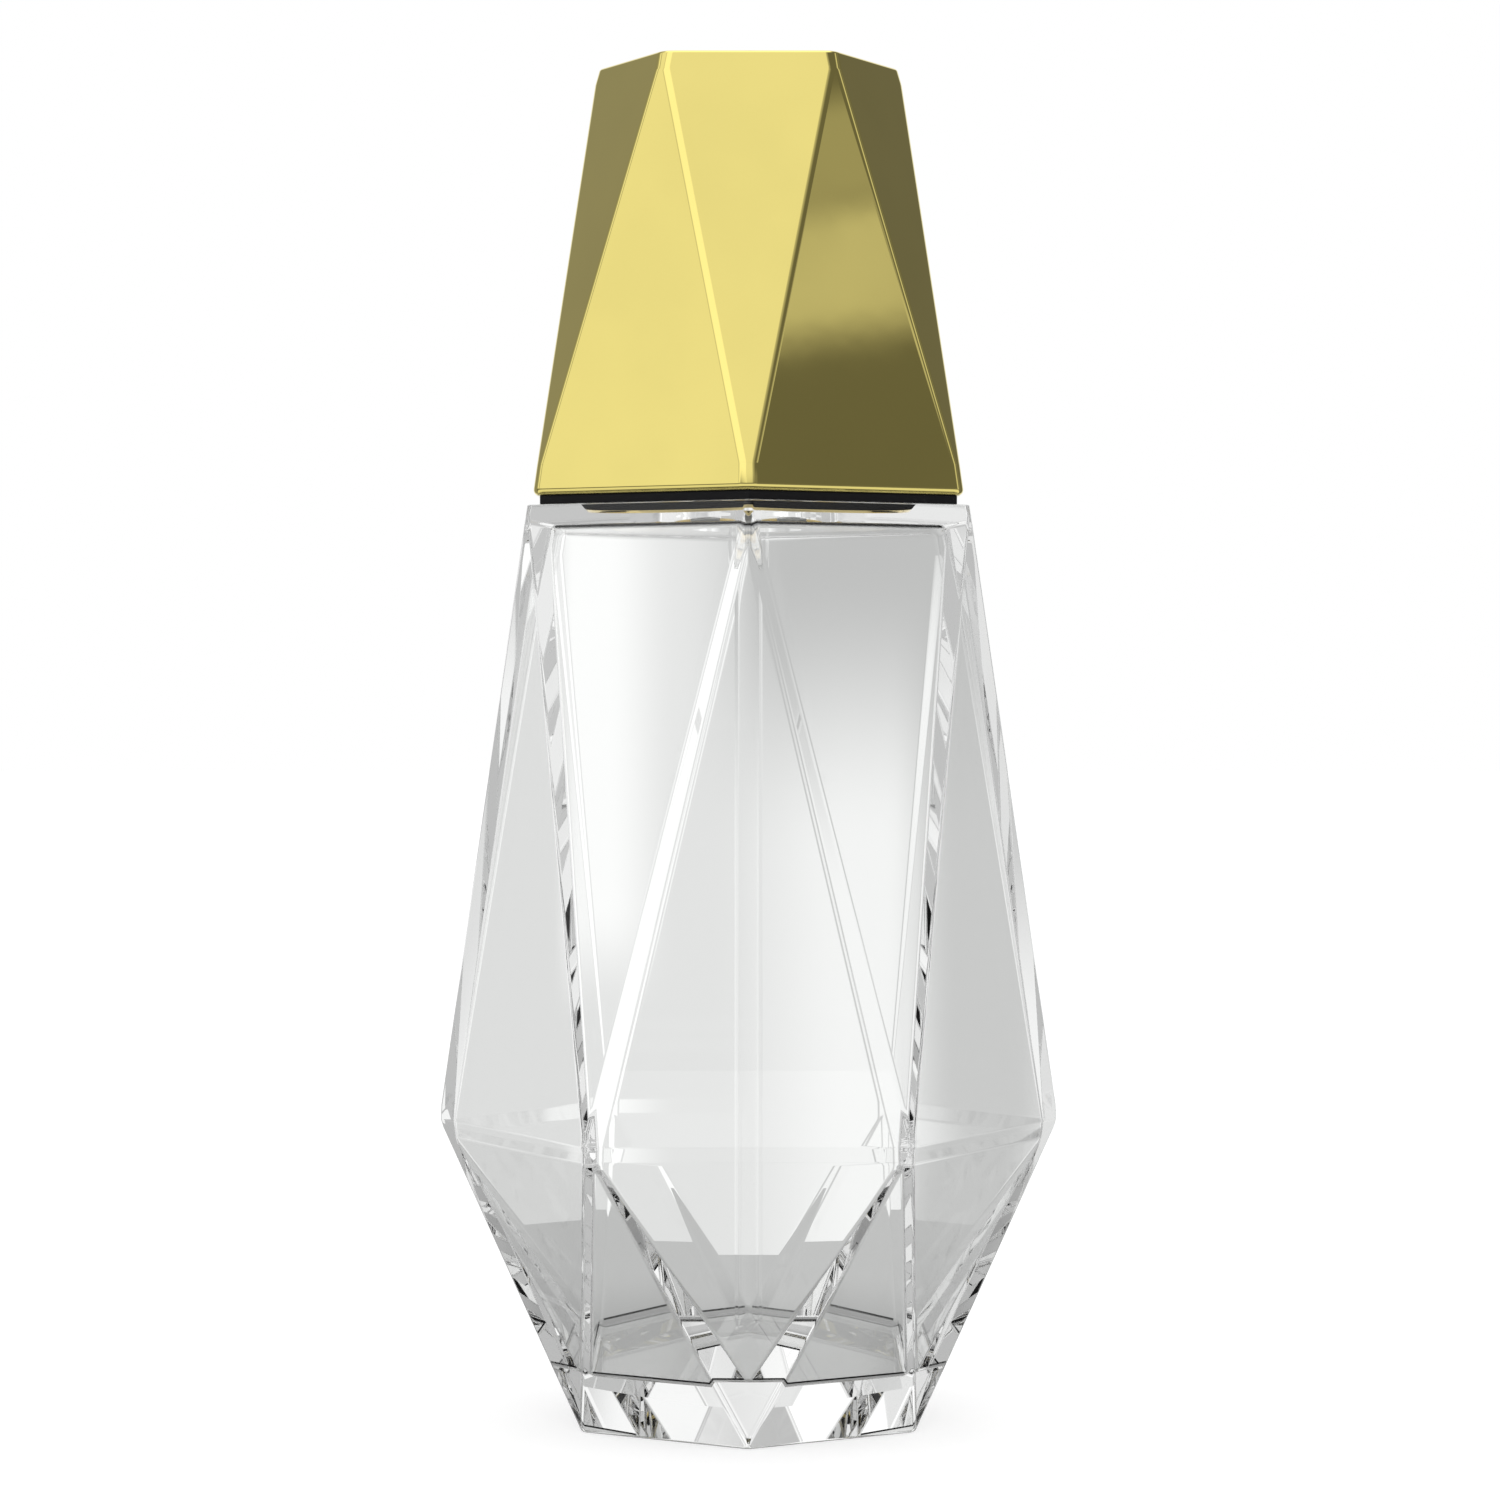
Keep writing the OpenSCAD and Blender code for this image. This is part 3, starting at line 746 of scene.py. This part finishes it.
def backdrop():
    """A card behind the bottle that only the glass shows. Its upper part darkens from left to right. Its lower
    part brightens, with a darker strip further right. A soft strip near the left side glows a little more. The
    levels were set by comparing tones with the photograph."""
    (left, right), (bottom, top) = BACKDROP_X, BACKDROP_Z
    outline = ((left, bottom), (right, bottom), (right, top), (left, top))
    mat, g, shader, place = new_material("backdrop_light")
    x, _, z = g.add("ShaderNodeSeparateXYZ", Vector=place).outputs
    # painted light and shade: the card's tones stand in for the studio light seen through the glass; the upper
    # part darkens from left to right
    upper = g.smooth(x, -0.012, 0.006, 0.84, 0.555)
    # painted shade: a darker strip further right
    dip = choose(g, window(g, x, 0.024, 0.042, 0.01), 1.0, 0.63)
    lower = g.math("MULTIPLY", g.smooth(x, -0.006, 0.015, 0.83, 1.02), dip)
    height = g.math("SUBTRACT", z, g.smooth(x, 0.035, 0.05, 0.0, 0.012))
    plain = choose(g, g.smooth(height, 0.047, 0.088), lower, upper)
    # painted light: a soft strip near the left side glows a little more
    glow = g.math("MULTIPLY", g.smooth(x, -0.0275, -0.0245), g.smooth(x, -0.02, -0.01, 0.22, 0.0))
    glow = g.math("MULTIPLY", glow, g.smooth(z, 0.025, 0.04))
    self_lit(g, shader, g.math("ADD", plain, glow))
    obj = stage_object("backdrop", card([(x, BACKDROP_Y, z) for x, z in outline]), mat)
    obj.visible_camera = False
    obj.visible_diffuse = False
    obj.visible_glossy = False
    obj.visible_shadow = False


def studio_world():
    """A soft studio as a function of direction. Azimuth 0 is behind the camera and positive to the right."""
    world = bpy.data.worlds.new("studio")
    world.use_nodes = True
    bpy.context.scene.world = world
    g = Graph(world.node_tree)
    direction = g.add("ShaderNodeTexCoord").outputs["Generated"]
    x, y, z = g.add("ShaderNodeSeparateXYZ", Vector=direction).outputs
    azimuth = g.math("DEGREES", g.math("ARCTAN2", x, g.math("MULTIPLY", y, -1.0)))
    elevation = g.math("DEGREES", g.math("ARCSINE", z))
    aside = g.math("SUBTRACT", 180.0, g.math("ABSOLUTE", azimuth))

    # what the gold mirrors: zones set by comparing tones with the photograph
    seen = g.smooth(aside, 25.0, 40.0, 0.93, 0.5)
    windows = (
        # azimuth from, to, softness, elevation from, to, softness, level
        (-145.0, -112.0, 8.0, -90.0, 90.0, 10.0, 0.31),
        (112.0, 145.0, 8.0, -90.0, 90.0, 10.0, 0.165),
        (-112.0, 112.0, 6.0, -30.0, 10.0, 4.0, 0.2),
        (-104.0, -96.0, 4.0, 10.0, 60.0, 6.0, 1.1),
        (-90.0, -45.0, 6.0, 10.0, 60.0, 6.0, 0.99),
        (35.0, 112.0, 14.0, 10.0, 90.0, 6.0, 0.16),
        (40.0, 80.0, 6.0, 17.3, 19.0, 0.8, 0.6),
        (40.0, 80.0, 6.0, 19.0, 20.4, 0.6, 0.38),
        (90.0, 100.0, 5.0, 0.0, 40.0, 10.0, 0.7),
        (-59.0, -54.0, 2.0, 10.0, 60.0, 6.0, 0.75),
        (-52.0, -8.0, 5.0, 10.0, 60.0, 6.0, 1.25),
        (-15.0, 25.0, 8.0, 10.0, 80.0, 6.0, 0.97),
        (-180.0, 180.0, 1.0, 60.0, 90.0, 12.0, 1.6),
    )
    for a0, a1, soft_a, e0, e1, soft_e, brightness in windows:
        across, upright = window(g, azimuth, a0, a1, soft_a), window(g, elevation, e0, e1, soft_e)
        seen = choose(g, g.math("MULTIPLY", across, upright), seen, brightness)

    # what is seen through the glass beside the backdrop: grey, with a bright window to the left
    to_left = g.smooth(x, -0.01, 0.01, 1.0, 0.0)
    through = choose(g, to_left, 0.54, choose(g, window(g, aside, 5.0, 23.0, 4.0), 0.85, 1.15))

    path = g.add("ShaderNodeLightPath")
    strength = choose(g, path.outputs["Is Transmission Ray"], seen, through)
    strength = choose(g, path.outputs["Is Diffuse Ray"], strength, 1.1)
    strength = choose(g, path.outputs["Is Camera Ray"], strength, 1.0)
    background = g.add("ShaderNodeBackground", Strength=strength)
    g.put(background, "Color", (1.0, 1.0, 1.0, 1.0))
    out = g.add("ShaderNodeOutputWorld")
    g.tree.links.new(background.outputs[0], out.inputs["Surface"])


floor()
table()
backdrop()
studio_world()
bpy.context.scene.view_settings.view_transform = "Standard"
cycles = bpy.context.scene.cycles
cycles.max_bounces = BOUNCES
cycles.transmission_bounces = BOUNCES
cycles.glossy_bounces = BOUNCES
cycles.caustics_reflective = False
